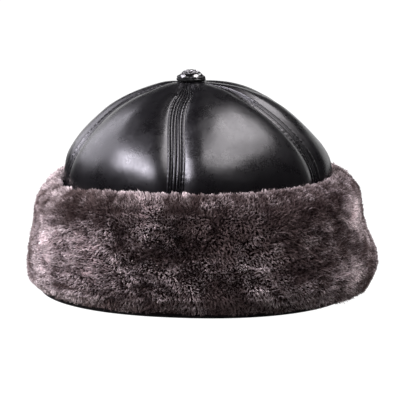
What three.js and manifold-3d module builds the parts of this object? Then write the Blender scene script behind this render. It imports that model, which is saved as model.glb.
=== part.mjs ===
// A domed leather winter hat: six sewn panels with a metal button on top, and a wide turned-up cuff of
// sheared fur over a leather rim. Millimetres, +Z up, the wearer's forehead towards -Y. The origin is on the
// floor, under the middle of the whole hat.
import * as THREE from "three";
import { mergeVertices } from "three/addons/utils/BufferGeometryUtils.js";
import Module from "manifold-3d";

const wasm = await Module();
wasm.setup();

// Driving sizes of the crown, measured to the leather's outside along a seam
const halfWidth = 89;
const halfLength = 95;
const leather = 2;
const crownCentreX = -5.3;
const buttonCentreX = -10.3;
const driftRadius = 35;

// The crown's outline from its foot to the button hole: the half width at each height.
const crownProfile = [
  { height: 2.7, radius: 88.6 },
  { height: 36, radius: 89 },
  { height: 66, radius: 88.9 },
  { height: 81, radius: 87 },
  { height: 94, radius: 80.6 },
  { height: 106, radius: 71 },
  { height: 117, radius: 59 },
  { height: 126, radius: 45.2 },
  { height: 133, radius: 29.4 },
  { height: 136.6, radius: 15.6 },
  { height: 138, radius: 3.6 },
];
const crownFoot = crownProfile[0].height;
const crownTop = crownProfile.at(-1);

// The panels, anticlockwise seen from above: the turn of the seam where each starts, from the forehead,
// how far it puffs out between its seams, and how far it is pressed in just above the cuff.
const panels = [
  { turn: -1, puff: 2.2, press: 1.2 },
  { turn: 71, puff: 2.2, press: -2 },
  { turn: 110, puff: 3.2, press: 0.8 },
  { turn: 178, puff: 2, press: 1 },
  { turn: 234, puff: 3.1, press: -0.4 },
  { turn: 290, puff: 1.8, press: 1.6 },
];
// Between these radii the seams twist by so many degrees on their way up.
const twist = { degrees: -7, radius: 88, fullRadius: 40 };
const puffFrom = { height: 68, full: 92, topRadius: 9, fullRadius: 60 };
const pressed = { height: 88, reach: 14 };

// A seam's two welts: a sunk seam line, a raised strip, a sunk row of stitches and a puckered edge.
const seam = { gap: 0.3, sunk: 0.35, crest: 1.6, stitchAt: 4.4, width: 6.2, rise: 0.75, stitchSink: 0.3 };
const seamFade = { height: 70, full: 79, topHalf: 4, fullHalf: 14 };

// The rim: a leather band under the crown and the cuff, with rounded edges and a flat sole.
const rim = { inward: 3, thickness: 2.3, round: 0.8 };

// The cuff at four turns from the forehead: how far out from the crown the rim's edge, the fur's foot, its
// fullest place, its waist, its shoulder and its crest are, and how far up its full place, waist and crest.
const cuffOut = [
  { turn: 0, edge: 18.5, foot: 22, full: 28, waist: 25, shoulder: 20, crest: 8 },
  { turn: 90, edge: 18.5, foot: 28, full: 33, waist: 24, shoulder: 19.5, crest: 8 },
  { turn: 180, edge: 18.5, foot: 22, full: 28, waist: 25, shoulder: 20, crest: 8 },
  { turn: 270, edge: 15.5, foot: 17, full: 23, waist: 19, shoulder: 16.5, crest: 6 },
];
const cuffUp = [
  { turn: 0, full: 16, waist: 45, crest: 76.5 },
  { turn: 90, full: 21, waist: 43, crest: 78.5 },
  { turn: 180, full: 15, waist: 46, crest: 78 },
  { turn: 270, full: 13, waist: 46, crest: 75.5 },
];
// The crest is pressed down at the left of the forehead.
const crestDip = { turn: 302, reach: 20, depth: 3.4 };
const cuff = { inner: 0.9, bottom: 2.6, footUp: 3.4, footTuck: 2, shoulderDown: 12, throat: 1.6, lip: 4 };
// The cuff's plan turns from an ellipse at the crown to a squarer oval at this distance out.
const cuffPlan = { out: 19, squareness: 2.22 };

// Locks of fur stand in staggered tiers around the cuff, each with its own size, and droop a little.
const lock = { rise: 1.5, sink: 0.6, least: 0.3, droop: 2, stray: 1.2, across: 112, tiers: 16 };
const swell = { depth: 0.7, slow: 5, fast: 9, climb: 0.06 };

// The button on top: how high it stands over the panels, its flange and dome, and the parts that hold it
const button = { seat: 0.7, radius: 9.4, flange: 1.8, bevel: 0.4, dome: 8, domeRise: 2.2, sides: 24 };
const rivet = { post: 2.4, head: 6.5, thickness: 1.2, clearance: 0.9 };
const lobe = { count: 10, inset: 1.6, along: 2.1, around: 2.4, high: 1.4 };
const rosette = { lift: 0.3, thickness: 1.5, radius: 7, taper: 0.9, boss: 2.8 };
const petal = { count: 7, out: 4.3, along: 2.2, around: 1.7, high: 1.1 };

// Mesh steps: up a panel, with few behind the cuff, across half of it from the welt to its middle, and
// around the rim.
const panelRows = { hidden: 2, hiddenShare: 0.29, dome: 14 };
const panelMiddle = 0.5;
// Near the top the seam's steps squeeze to these shares of half the panel.
const seamSqueeze = [0.06, 0.26, 0.46, 0.66];
const rimSteps = 60;

const fullTurn = 2 * Math.PI;
const { clamp, degToRad, lerp, smoothstep } = THREE.MathUtils;

// A repeatable number from 0 to 1 for a pair of whole numbers.
function scatter(a, b) {
  const s = Math.sin(a * 12.9898 + b * 78.233) * 43758.5453;
  return s - Math.floor(s);
}

// A point on an oval about the crown's middle. Turn 0 is the forehead, and the turn grows towards +X. An
// exponent of 2 gives an ellipse, and more is squarer.
function ovalPoint(turn, width, length, exponent = 2) {
  const s = Math.sin(turn);
  const c = Math.cos(turn);
  const reach = (Math.abs(s) ** exponent + Math.abs(c) ** exponent) ** (-1 / exponent);
  return new THREE.Vector2(width * s * reach, -length * c * reach);
}

const crownCurve = new THREE.SplineCurve(crownProfile.map((p) => new THREE.Vector2(p.radius, p.height)));
const crownStretch = halfLength / halfWidth;

// The half width of the crown at a height, found by halving.
function crownRadiusAt(height) {
  let low = 0;
  let high = 1;
  for (let i = 0; i < 24; i += 1) {
    const middle = (low + high) / 2;
    if (crownCurve.getPoint(middle).y < height) low = middle;
    else high = middle;
  }
  return crownCurve.getPoint(low).x;
}

// The middle of the crown's section drifts towards the button as the section closes.
function crownMiddle(radius) {
  return lerp(buttonCentreX, crownCentreX, smoothstep(radius, crownTop.radius, driftRadius));
}

// A point of a panel, raised along the normal of the crown's smooth wall.
function crownPoint(turn, place, rise) {
  const twisted = turn + degToRad(twist.degrees) * (1 - smoothstep(place.radius, twist.fullRadius, twist.radius));
  const flat = ovalPoint(twisted, place.radius, place.radius * crownStretch);
  const out = new THREE.Vector2(Math.sin(twisted) * crownStretch, -Math.cos(twisted)).normalize();
  return new THREE.Vector3(
    flat.x + crownMiddle(place.radius) + out.x * place.normal.x * rise,
    flat.y + out.y * place.normal.x * rise,
    place.height + place.normal.y * rise,
  );
}

// The rise of the leather at a distance from the nearest seam.
function seamRise(distance) {
  if (distance < seam.crest / 2) return -seam.sunk;
  if (Math.abs(distance - seam.stitchAt) < seam.crest / 2) return seam.rise - seam.stitchSink;
  return distance < seam.width ? seam.rise : 0;
}

function panelGeometry(number) {
  const { turn: start, puff, press } = panels[number];
  const end = panels[number + 1]?.turn ?? 360 + panels[0].turn;
  const step = degToRad(end - start);
  const outer = [];
  const inner = [];
  for (let row = -panelRows.hidden; row <= panelRows.dome; row += 1) {
    const { hidden, hiddenShare, dome } = panelRows;
    const share = hiddenShare + (row < 0 ? (row / hidden) * hiddenShare : (row / dome) * (1 - hiddenShare));
    const point = crownCurve.getPointAt(share);
    const along = crownCurve.getTangentAt(share);
    const place = { radius: point.x, height: point.y, normal: new THREE.Vector2(along.y, -along.x) };
    const half = (point.x * (1 + crownStretch) * step) / 4;
    const nearest = [seam.gap / 2, seam.crest, seam.stitchAt, seam.width];
    const near = nearest.map((distance, i) => Math.min(distance, half * seamSqueeze[i]));
    const oneSide = [...near, lerp(near.at(-1), half, panelMiddle)];
    const across = [...oneSide, half, ...oneSide.map((distance) => 2 * half - distance).reverse()];
    const seamShare =
      smoothstep(point.y, seamFade.height, seamFade.full) *
      smoothstep(half, seamFade.topHalf, seamFade.fullHalf);
    const puffShare =
      smoothstep(point.y, puffFrom.height, puffFrom.full) *
      smoothstep(point.x, puffFrom.topRadius, puffFrom.fullRadius);
    const pressShare = Math.exp(-(((point.y - pressed.height) / pressed.reach) ** 2));
    const columns = across.map((offset) => {
      const arch = Math.sin((Math.PI * offset) / (2 * half));
      const body = puff * puffShare * arch - press * pressShare * arch ** 2;
      const edge = seamRise(Math.min(offset, 2 * half - offset)) * seamShare;
      return { turn: degToRad(start) + (step * offset) / (2 * half), body, edge };
    });
    outer.push(columns.map((c) => crownPoint(c.turn, place, c.body + c.edge)));
    inner.push(columns.map((c) => crownPoint(c.turn, place, c.body - leather)));
  }
  return shellGeometry(outer, inner);
}

// A row of named values at any turn, eased between the rows of a table whose turns are evenly spaced.
function rowAt(table, turn) {
  const step = fullTurn / table.length;
  const before = table[Math.floor(turn / step) % table.length];
  const after = table[(table.indexOf(before) + 1) % table.length];
  const share = smoothstep(turn - degToRad(before.turn), 0, step);
  return Object.fromEntries(Object.keys(before).map((key) => [key, lerp(before[key], after[key], share)]));
}

// The cuff's heights at a turn.
function cuffUpAt(turn) {
  const up = rowAt(cuffUp, turn);
  const away = (turn - degToRad(crestDip.turn)) / degToRad(crestDip.reach);
  return { ...up, crest: up.crest - crestDip.depth * Math.exp(-(away ** 2)) };
}

// A point around the crown's foot, by its distance out and its height.
function cuffPoint(turn, out, up) {
  const radius = crownRadiusAt(Math.max(up, crownFoot));
  const exponent = lerp(2, cuffPlan.squareness, clamp(out / cuffPlan.out, 0, 1));
  const flat = ovalPoint(turn, radius + out, radius * crownStretch + out, exponent);
  return new THREE.Vector3(flat.x + crownCentreX, flat.y, up);
}

// Every other point of the cuff's grid is the tip of a lock.
function isTip(column, tier) {
  return (column + tier) % 2 === 1;
}

// How far the fur stands out at a lock of a tier, over a slow swell that runs around the hat.
function lockRise(column, tier, turn, up) {
  const size = lerp(lock.least, 1, scatter(column, tier));
  const slow = Math.sin(swell.slow * turn + swell.climb * up);
  const fast = Math.sin(swell.fast * turn - swell.climb * up);
  return (isTip(column, tier) ? lock.rise : -lock.sink) * size + (swell.depth * (slow + fast)) / 2;
}

// The fur cuff: one ring, flat under its foot and against the crown, with locks over its outside and top.
function cuffGeometry() {
  const sections = [];
  for (let column = 0; column < lock.across; column += 1) {
    const turn = (column / lock.across) * fullTurn;
    const out = rowAt(cuffOut, turn);
    const up = cuffUpAt(turn);
    const shoulderUp = up.crest - cuff.shoulderDown;
    const outside = new THREE.SplineCurve([
      new THREE.Vector2(out.foot, cuff.footUp),
      new THREE.Vector2(out.full, up.full),
      new THREE.Vector2(out.waist, up.waist),
      new THREE.Vector2(out.shoulder, shoulderUp),
      new THREE.Vector2(out.crest, up.crest),
      new THREE.Vector2(cuff.throat, up.crest - cuff.lip),
    ]).getSpacedPoints(lock.tiers);
    const furred = outside.map((p, tier) => {
      const pile = Math.sqrt(Math.sin((Math.PI * tier) / lock.tiers));
      const rise = pile * lockRise(column, tier, turn, p.y);
      const upward = smoothstep(p.y, shoulderUp - cuff.lip, up.crest);
      const droop = isTip(column, tier) ? pile * lock.droop * scatter(tier, column) * (1 - upward) : 0;
      const stray = pile * degToRad(lock.stray) * (2 * scatter(column + tier, column) - 1);
      return cuffPoint(turn + stray, p.x + rise * (1 - upward), p.y + rise * upward - droop);
    });
    sections.push([
      cuffPoint(turn, cuff.inner, cuff.bottom),
      cuffPoint(turn, out.foot - cuff.footTuck, cuff.bottom),
      ...furred,
      cuffPoint(turn, cuff.inner, up.crest - 2 * cuff.lip),
    ]);
  }
  return ringGeometry(sections);
}

// The rim band, whose section is a bar with its four corners cut.
function rimGeometry() {
  const { inward, thickness, round } = rim;
  const sections = [];
  for (let i = 0; i < rimSteps; i += 1) {
    const turn = (i / rimSteps) * fullTurn;
    const { edge } = rowAt(cuffOut, turn);
    sections.push([
      cuffPoint(turn, -inward, round),
      cuffPoint(turn, round - inward, 0),
      cuffPoint(turn, edge - round, 0),
      cuffPoint(turn, edge, round),
      cuffPoint(turn, edge, thickness - round),
      cuffPoint(turn, edge - round, thickness),
      cuffPoint(turn, round - inward, thickness),
      cuffPoint(turn, -inward, thickness - round),
    ]);
  }
  return ringGeometry(sections);
}

// The button's dark part: a shallow dome on a lobed flange, with a post down to the flat head inside.
function buttonBaseGeometry() {
  const under = -button.seat - leather - rivet.clearance;
  const top = button.flange + button.domeRise;
  const profile = [
    new THREE.Vector2(0, under - rivet.thickness),
    new THREE.Vector2(rivet.head, under - rivet.thickness),
    new THREE.Vector2(rivet.head, under),
    new THREE.Vector2(rivet.post, under),
    new THREE.Vector2(rivet.post, 0),
    new THREE.Vector2(button.radius - button.bevel, 0),
    new THREE.Vector2(button.radius, button.flange / 2),
    new THREE.Vector2(button.radius - button.bevel, button.flange),
    new THREE.Vector2(button.dome, button.flange + button.bevel),
    new THREE.Vector2(button.dome * 0.75, top - button.bevel),
    new THREE.Vector2(button.dome * 0.5, top),
    new THREE.Vector2(0, top),
  ];
  const body = new THREE.LatheGeometry(profile, button.sides).rotateX(Math.PI / 2);
  const ring = Array.from({ length: lobe.count }, (_, i) =>
    new THREE.SphereGeometry(1, 7, 4)
      .scale(lobe.along, lobe.around, lobe.high)
      .translate(button.radius - lobe.inset, 0, button.flange)
      .rotateZ((i / lobe.count) * fullTurn),
  );
  return fused([body, ...ring]);
}

// The button's bright part: petals around a boss on a round plate, clear of the dark dome.
function buttonRosetteGeometry() {
  const under = button.flange + button.domeRise + rosette.lift;
  const top = under + rosette.thickness;
  const plate = new THREE.CylinderGeometry(
    rosette.radius * rosette.taper,
    rosette.radius,
    rosette.thickness,
    button.sides,
  );
  const boss = new THREE.SphereGeometry(1, 12, 8).scale(rosette.boss, rosette.boss, rosette.thickness);
  const ring = Array.from({ length: petal.count }, (_, i) =>
    new THREE.SphereGeometry(1, 8, 6)
      .scale(petal.along, petal.around, petal.high)
      .translate(petal.out, 0, top)
      .rotateZ(((i + 0.5) / petal.count) * fullTurn),
  );
  return fused([
    plate.rotateX(Math.PI / 2).translate(0, 0, under + rosette.thickness / 2),
    boss.translate(0, 0, top),
    ...ring,
  ]);
}

// A closed solid from rows by columns of outer points and the inner points behind them.
function shellGeometry(outer, inner) {
  const rows = outer.length;
  const columns = outer[0].length;
  const at = (side, row, column) => (side * rows + row) * columns + column;
  const index = [];
  const quad = (a, b, c, d) => index.push(a, b, c, a, c, d);
  for (let r = 0; r < rows - 1; r += 1) {
    for (let c = 0; c < columns - 1; c += 1) {
      quad(at(0, r, c), at(0, r, c + 1), at(0, r + 1, c + 1), at(0, r + 1, c));
      quad(at(1, r, c), at(1, r + 1, c), at(1, r + 1, c + 1), at(1, r, c + 1));
    }
    quad(at(0, r, 0), at(0, r + 1, 0), at(1, r + 1, 0), at(1, r, 0));
    quad(at(0, r, columns - 1), at(1, r, columns - 1), at(1, r + 1, columns - 1), at(0, r + 1, columns - 1));
  }
  for (let c = 0; c < columns - 1; c += 1) {
    quad(at(0, 0, c), at(1, 0, c), at(1, 0, c + 1), at(0, 0, c + 1));
    quad(at(0, rows - 1, c), at(0, rows - 1, c + 1), at(1, rows - 1, c + 1), at(1, rows - 1, c));
  }
  return indexedGeometry([...outer, ...inner].flat(), index);
}

// A closed ring from sections that all have the same number of points. The quads are cut along alternate
// diagonals, so that a staggered point stands up as a tip of its own.
function ringGeometry(sections) {
  const points = sections[0].length;
  const index = [];
  sections.forEach((section, i) => {
    const here = i * points;
    const next = ((i + 1) % sections.length) * points;
    section.forEach((_, j) => {
      const above = (j + 1) % points;
      const [a, b, c, d] = [here + j, next + j, next + above, here + above];
      if (isTip(i, j)) index.push(a, b, d, b, c, d);
      else index.push(a, b, c, a, c, d);
    });
  });
  return indexedGeometry(sections.flat(), index);
}

function indexedGeometry(points, index) {
  const geometry = new THREE.BufferGeometry().setFromPoints(points);
  geometry.setIndex(index);
  geometry.computeVertexNormals();
  return geometry;
}

// Joins closed geometries into one.
function fused(geometries) {
  const solids = geometries.map((geometry) => {
    geometry.deleteAttribute("normal");
    geometry.deleteAttribute("uv");
    const merged = mergeVertices(geometry, 1e-4);
    return new wasm.Manifold(
      new wasm.Mesh({
        numProp: 3,
        vertProperties: merged.attributes.position.array,
        triVerts: new Uint32Array(merged.index.array),
      }),
    );
  });
  const mesh = solids.reduce((whole, solid) => whole.add(solid)).getMesh();
  const geometry = new THREE.BufferGeometry();
  geometry.setAttribute("position", new THREE.BufferAttribute(mesh.vertProperties, 3));
  geometry.setIndex(new THREE.BufferAttribute(mesh.triVerts, 1));
  geometry.computeVertexNormals();
  return geometry;
}

const crownLeather = new THREE.MeshStandardMaterial({ color: 0x1b1a1d, roughness: 0.35, metalness: 0 });
const rimLeather = new THREE.MeshStandardMaterial({ color: 0x151315, roughness: 0.5, metalness: 0 });
const shearedFur = new THREE.MeshStandardMaterial({ color: 0x5b5052, roughness: 0.95, metalness: 0 });
const darkMetal = new THREE.MeshStandardMaterial({ color: 0x17171a, roughness: 0.25, metalness: 1 });
const brightMetal = new THREE.MeshStandardMaterial({ color: 0xb9b7b5, roughness: 0.2, metalness: 1 });

function piece(name, geometry, material) {
  const mesh = new THREE.Mesh(geometry, material);
  mesh.name = name;
  return mesh;
}

const hat = new THREE.Group();
panels.forEach((_, i) => hat.add(piece(`crown_panel_${i + 1}`, panelGeometry(i), crownLeather)));
hat.add(piece("rim_binding", rimGeometry(), rimLeather));
hat.add(piece("fur_cuff", cuffGeometry(), shearedFur));

const topButton = new THREE.Group();
topButton.position.set(buttonCentreX, 0, crownTop.height + button.seat);
topButton.add(piece("button_base", buttonBaseGeometry(), darkMetal));
topButton.add(piece("button_rosette", buttonRosetteGeometry(), brightMetal));
hat.add(topButton);

export default hat;
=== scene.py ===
# A domed leather winter hat with a metal button on top, in a turned-up cuff of sheared fur.
import math
import bpy
import numpy as np
from mathutils import Euler, Matrix, Vector


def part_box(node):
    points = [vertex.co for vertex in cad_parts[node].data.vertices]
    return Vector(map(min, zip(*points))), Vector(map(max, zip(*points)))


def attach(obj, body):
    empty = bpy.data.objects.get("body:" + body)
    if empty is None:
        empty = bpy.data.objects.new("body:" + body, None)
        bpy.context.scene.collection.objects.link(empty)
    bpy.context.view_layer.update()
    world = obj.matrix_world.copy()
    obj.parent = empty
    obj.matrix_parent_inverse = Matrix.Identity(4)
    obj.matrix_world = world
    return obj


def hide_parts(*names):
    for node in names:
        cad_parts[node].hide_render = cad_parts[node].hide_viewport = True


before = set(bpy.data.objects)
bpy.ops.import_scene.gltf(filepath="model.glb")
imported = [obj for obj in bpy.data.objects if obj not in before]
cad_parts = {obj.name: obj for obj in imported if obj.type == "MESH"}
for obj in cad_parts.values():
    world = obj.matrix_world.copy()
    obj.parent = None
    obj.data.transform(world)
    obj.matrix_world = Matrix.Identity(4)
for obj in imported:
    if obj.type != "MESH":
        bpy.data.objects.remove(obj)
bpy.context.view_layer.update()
print("frame loaded:", len(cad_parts), "solids")

# Lengths below are in millimetres, and become metres as a mesh is made
mm = 0.001
fullTurn = 2 * math.pi
draws = np.random.default_rng(31)


def ease(value, low, high):
    # 0 below low and 1 above high, smooth between
    share = np.clip((value - low) / (high - low), 0, 1)
    return share * share * (3 - 2 * share)


def bell(value, width):
    return np.exp(-((value / width) ** 2))


def mix(start, end, share):
    return start + (end - start) * share


def unit(vectors):
    return vectors / np.maximum(np.linalg.norm(vectors, axis=-1, keepdims=True), 1e-9)


def splineThrough(points, count):
    # even steps along the smooth curve through a few points
    points = np.asarray(points, float)
    ends = np.concatenate([points[:1], points, points[-1:]])
    place = np.linspace(0, len(points) - 1, 60 * len(points))
    start = np.minimum(place.astype(int), len(points) - 2)
    t = (place - start)[:, None]
    a, b, c, d = (ends[start + k] for k in range(4))
    leave = (c - a) / 2
    arrive = (d - b) / 2
    cubic = 2 * b - 2 * c + leave + arrive
    square = 3 * c - 3 * b - 2 * leave - arrive
    curve = cubic * t**3 + square * t**2 + leave * t + b
    along = np.concatenate([[0], np.cumsum(np.linalg.norm(np.diff(curve, axis=0), axis=1))])
    even = np.linspace(0, along[-1], count)
    return np.stack([np.interp(even, along, curve[:, k]) for k in range(curve.shape[1])], axis=1), even


# Swells are laid out on a ring of this radius, with wavelengths spread about their pitch
waving = {"radius": 105, "spread": 1.6}


def softWaves(turn, height, pitch, seed, depth=1, waves=9, stretched=1):
    # a slow random swell that closes round the hat; pitch is its usual wavelength, depth about its highest
    own = np.random.default_rng(seed)
    steep = fullTurn / pitch / waving["spread"]
    total = np.zeros(np.broadcast(turn, height).shape)
    for _ in range(waves):
        around = round(own.normal(0, 1) * steep * waving["radius"] / stretched)
        upward = own.normal(0, 1) * steep
        total = total + np.sin(around * turn + upward * height + own.uniform(0, fullTurn))
    return depth * total / math.sqrt(waves)


def scatter(a, b):
    # an even spread of numbers from 0 to 1, the same for the same pair
    mixed = np.sin(a * 12.9898 + b * 78.233) * 43758.5453
    return mixed - np.floor(mixed)


# Node groups and materials
def addNode(tree, kind, inputs=None, **settings):
    node = tree.nodes.new(kind)
    for key, value in settings.items():
        setattr(node, key, value)
    for name, value in (inputs or {}).items():
        if isinstance(value, bpy.types.NodeSocket):
            tree.links.new(value, node.inputs[name])
        else:
            node.inputs[name].default_value = value
    return node


def newGroup(name, inputs, outputs):
    tree = bpy.data.node_groups.new(name, "ShaderNodeTree")
    for label, (kind, value) in inputs.items():
        tree.interface.new_socket(label, in_out="INPUT", socket_type=kind).default_value = value
    for label, kind in outputs.items():
        tree.interface.new_socket(label, in_out="OUTPUT", socket_type=kind)
    return tree, addNode(tree, "NodeGroupInput").outputs, addNode(tree, "NodeGroupOutput").inputs


def mathNode(tree, operation, first, second=0.0, clamp=False):
    node = addNode(tree, "ShaderNodeMath", operation=operation, use_clamp=clamp)
    for socket, value in zip(node.inputs, (first, second)):
        if isinstance(value, bpy.types.NodeSocket):
            tree.links.new(value, socket)
        else:
            socket.default_value = value
    return node.outputs[0]


def mixColour(tree, share, first, second):
    node = addNode(tree, "ShaderNodeMix", data_type="RGBA")
    for index, value in ((0, share), (6, first), (7, second)):
        if isinstance(value, bpy.types.NodeSocket):
            tree.links.new(value, node.inputs[index])
        else:
            node.inputs[index].default_value = value
    return node.outputs[2]


def mapRange(tree, value, low, high, toLow, toHigh, smooth=False):
    kind = "SMOOTHSTEP" if smooth else "LINEAR"
    inputs = {"Value": value, "From Min": low, "From Max": high, "To Min": toLow, "To Max": toHigh}
    return addNode(tree, "ShaderNodeMapRange", inputs, interpolation_type=kind).outputs[0]


def objectPlace(tree):
    return addNode(tree, "ShaderNodeTexCoord").outputs["Object"]


def noise(tree, place, scale, detail, roughness=0.5):
    inputs = {"Vector": place, "Scale": scale, "Detail": detail, "Roughness": roughness}
    return addNode(tree, "ShaderNodeTexNoise", inputs).outputs


# Scales are in waves for each metre; the cells are bent out of line, and pits lie low between them
grainPattern = {
    "bendScale": 260.0,
    "bend": 0.0011,
    "poreScale": 2600.0,
    "rippleScale": 190.0,
    "deepPit": 0.35,
    "noPit": 0.62,
}


def makeLeatherGrain():
    # pebbled grain: shallow cells with fine pores between them, on leather that ripples a little
    pattern = grainPattern
    number = "NodeSocketFloat"
    tree, given, put = newGroup(
        "leatherGrain",
        {"Cells": (number, 900.0), "Pores": (number, 0.3), "Ripple": (number, 2.0)},
        {"Height": number, "Pit": number},
    )
    place = objectPlace(tree)
    bent = addNode(tree, "ShaderNodeVectorMath", operation="MULTIPLY_ADD")
    tree.links.new(noise(tree, place, pattern["bendScale"], 2.0)["Color"], bent.inputs[0])
    bent.inputs[1].default_value = [pattern["bend"]] * 3
    tree.links.new(place, bent.inputs[2])
    spots = {"Vector": bent.outputs[0], "Scale": given["Cells"]}
    cells = addNode(tree, "ShaderNodeTexVoronoi", spots, feature="SMOOTH_F1")
    dome = mathNode(tree, "SUBTRACT", 1.0, cells.outputs["Distance"])
    fine = mathNode(tree, "MULTIPLY", noise(tree, place, pattern["poreScale"], 3.0)["Fac"], given["Pores"])
    wave = noise(tree, place, pattern["rippleScale"], 1.0)["Fac"]
    ripple = mathNode(tree, "MULTIPLY", wave, given["Ripple"])
    tree.links.new(mathNode(tree, "ADD", mathNode(tree, "ADD", dome, fine), ripple), put["Height"])
    # Pit is 1 in the low grooves between cells; the leathers darken them there as painted shade, and make
    # them rougher
    pit = mapRange(tree, dome, pattern["deepPit"], pattern["noPit"], 1.0, 0.0, smooth=True)
    tree.links.new(pit, put["Pit"])
    return tree


def makeMottle():
    # cloudy variation at two scales, from 0 to 1
    number = "NodeSocketFloat"
    inputs = {"Scale": (number, 40.0), "Contrast": (number, 1.0)}
    tree, given, put = newGroup("mottle", inputs, {"Mask": number})
    cloud = noise(tree, objectPlace(tree), given["Scale"], 4.0, 0.6)["Fac"]
    centred = mathNode(tree, "MULTIPLY", mathNode(tree, "SUBTRACT", cloud, 0.5), given["Contrast"])
    tree.links.new(mathNode(tree, "ADD", centred, 0.5, clamp=True), put["Mask"])
    return tree


# Along a hair from 0 to 1: where the dark root ends, where frost begins and over how much it deepens
frosting = {
    "rootTo": 0.25,
    "bodyFrom": 0.75,
    "latest": 0.85,
    "earliest": 0.35,
    "fade": 0.30,
    "darkHair": 0.4,
    "paleHair": 1.3,
}


def makeFrostedHair():
    # the tone of a hair from its dark root to its frosted tip
    f = frosting
    number = "NodeSocketFloat"
    colour = "NodeSocketColor"
    tree, given, put = newGroup(
        "frostedHair",
        {
            "Along": (number, 0.5),
            "Tone": (number, 0.5),
            "Frost": (number, 0.5),
            "Root": (colour, (0.028, 0.019, 0.018, 1)),
            "Body": (colour, (0.115, 0.081, 0.078, 1)),
            "Tip": (colour, (0.900, 0.790, 0.800, 1)),
        },
        {"Color": colour},
    )
    lower = mapRange(tree, given["Along"], f["rootTo"], f["bodyFrom"], 0.0, 1.0, smooth=True)
    body = mixColour(tree, lower, given["Root"], given["Body"])
    begin = mapRange(tree, given["Frost"], 0.0, 1.0, f["latest"], f["earliest"])
    past = mathNode(tree, "SUBTRACT", given["Along"], begin)
    reach = mathNode(tree, "DIVIDE", past, f["fade"], clamp=True)
    takes = mapRange(tree, given["Tone"], 0.0, 1.0, f["darkHair"], f["paleHair"])
    toned = mathNode(tree, "MULTIPLY", given["Frost"], takes)
    frost = mathNode(tree, "MULTIPLY", reach, toned, clamp=True)
    tree.links.new(mixColour(tree, frost, body, given["Tip"]), put["Color"])
    return tree


leatherGrain = makeLeatherGrain()
mottle = makeMottle()
frostedHair = makeFrostedHair()


def newMaterial(name, settings):
    # a material whose Principled shader has these plain values
    material = bpy.data.materials.new(name)
    material.use_nodes = True
    shader = material.node_tree.nodes["Principled BSDF"]
    for label, value in settings.items():
        shader.inputs[label].default_value = value
    return material, material.node_tree, shader


def useGroup(tree, group, **inputs):
    node = addNode(tree, "ShaderNodeGroup", node_tree=group)
    for label, value in inputs.items():
        if isinstance(value, bpy.types.NodeSocket):
            tree.links.new(value, node.inputs[label])
        else:
            node.inputs[label].default_value = value
    return node.outputs


def addBump(tree, shader, height, depth):
    bump = addNode(tree, "ShaderNodeBump", {"Height": height, "Strength": 1.0, "Distance": depth * mm})
    tree.links.new(bump.outputs["Normal"], shader.inputs["Normal"])


def shade(tone, times):
    return [value * times for value in tone] + [1]


# The leathers share their grain and clouding; each has its own tone, roughness and depth of grain
leatherLook = {
    "cells": 820.0,
    "pores": 0.35,
    "cloudScale": 75.0,
    "cloudContrast": 2.4,
    "dark": 0.75,
    "pale": 1.3,
    # how dark the grain's low pits are painted, as painted shade
    "pit": 0.45,
    "smoother": 0.03,
    "rougher": 0.08,
    "pitRougher": 0.05,
}
crownFinish = {"tone": [0.0014, 0.0011, 0.0016], "roughness": 0.26, "grain": 0.006, "ripple": 10.0}
rimFinish = {"tone": [0.0040, 0.0034, 0.0038], "roughness": 0.45, "grain": 0.05, "ripple": 2.0}


def makeLeather(name, finish):
    look = leatherLook
    material, tree, shader = newMaterial(name, {"Specular IOR Level": 0.55})
    grain = useGroup(tree, leatherGrain, Cells=look["cells"], Pores=look["pores"], Ripple=finish["ripple"])
    cloud = useGroup(tree, mottle, Scale=look["cloudScale"], Contrast=look["cloudContrast"])["Mask"]
    dark = shade(finish["tone"], look["dark"])
    pale = shade(finish["tone"], look["pale"])
    clouded = mixColour(tree, cloud, dark, pale)
    # painted shade: the tone darkens in the grain's low pits
    pitShaded = mixColour(tree, grain["Pit"], clouded, shade(finish["tone"], look["pit"]))
    tree.links.new(pitShaded, shader.inputs["Base Color"])
    smoothest = finish["roughness"] - look["smoother"]
    roughest = finish["roughness"] + look["rougher"]
    matt = mapRange(tree, cloud, 0.0, 1.0, smoothest, roughest)
    pitted = mathNode(tree, "MULTIPLY", grain["Pit"], look["pitRougher"])
    tree.links.new(mathNode(tree, "ADD", matt, pitted), shader.inputs["Roughness"])
    addBump(tree, shader, grain["Height"], finish["grain"])
    return material


suede = {
    "nap": 1500.0,
    "napDepth": 0.12,
    "cloudScale": 70.0,
    "cloudContrast": 2.4,
    "deep": (0.012, 0.011, 0.011, 1),
    "dark": (0.020, 0.018, 0.018, 1),
    "pale": (0.050, 0.045, 0.044, 1),
}


def makeSuede():
    material, tree, shader = newMaterial("suedeInside", {"Specular IOR Level": 0.2, "Sheen Weight": 0.25})
    nap = noise(tree, objectPlace(tree), suede["nap"], 4.0)["Fac"]
    cloud = useGroup(tree, mottle, Scale=suede["cloudScale"], Contrast=suede["cloudContrast"])["Mask"]
    tint = mixColour(tree, nap, suede["deep"], mixColour(tree, cloud, suede["dark"], suede["pale"]))
    tree.links.new(tint, shader.inputs["Base Color"])
    tree.links.new(mapRange(tree, nap, 0.0, 1.0, 0.8, 1.0), shader.inputs["Roughness"])
    addBump(tree, shader, nap, suede["napDepth"])
    return material


# Finishes that are clouded between two tones and two roughnesses
cloudedFinishes = {
    "thread": {
        "scale": 3800.0,
        "contrast": 2.0,
        "tones": [(0.004, 0.004, 0.005, 1), (0.012, 0.012, 0.013, 1)],
        "roughness": [0.45, 0.70],
        "depth": 0.05,
    },
    "lacquer": {
        "scale": 420.0,
        "contrast": 2.2,
        "tones": [(0.002, 0.002, 0.002, 1), (0.008, 0.008, 0.008, 1)],
        "roughness": [0.26, 0.42],
        "depth": 0.04,
    },
    "silver": {
        "scale": 600.0,
        "contrast": 2.6,
        "tones": [(0.14, 0.14, 0.14, 1), (0.42, 0.41, 0.41, 1)],
        "roughness": [0.50, 0.34],
        "depth": 0.05,
    },
}


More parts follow.
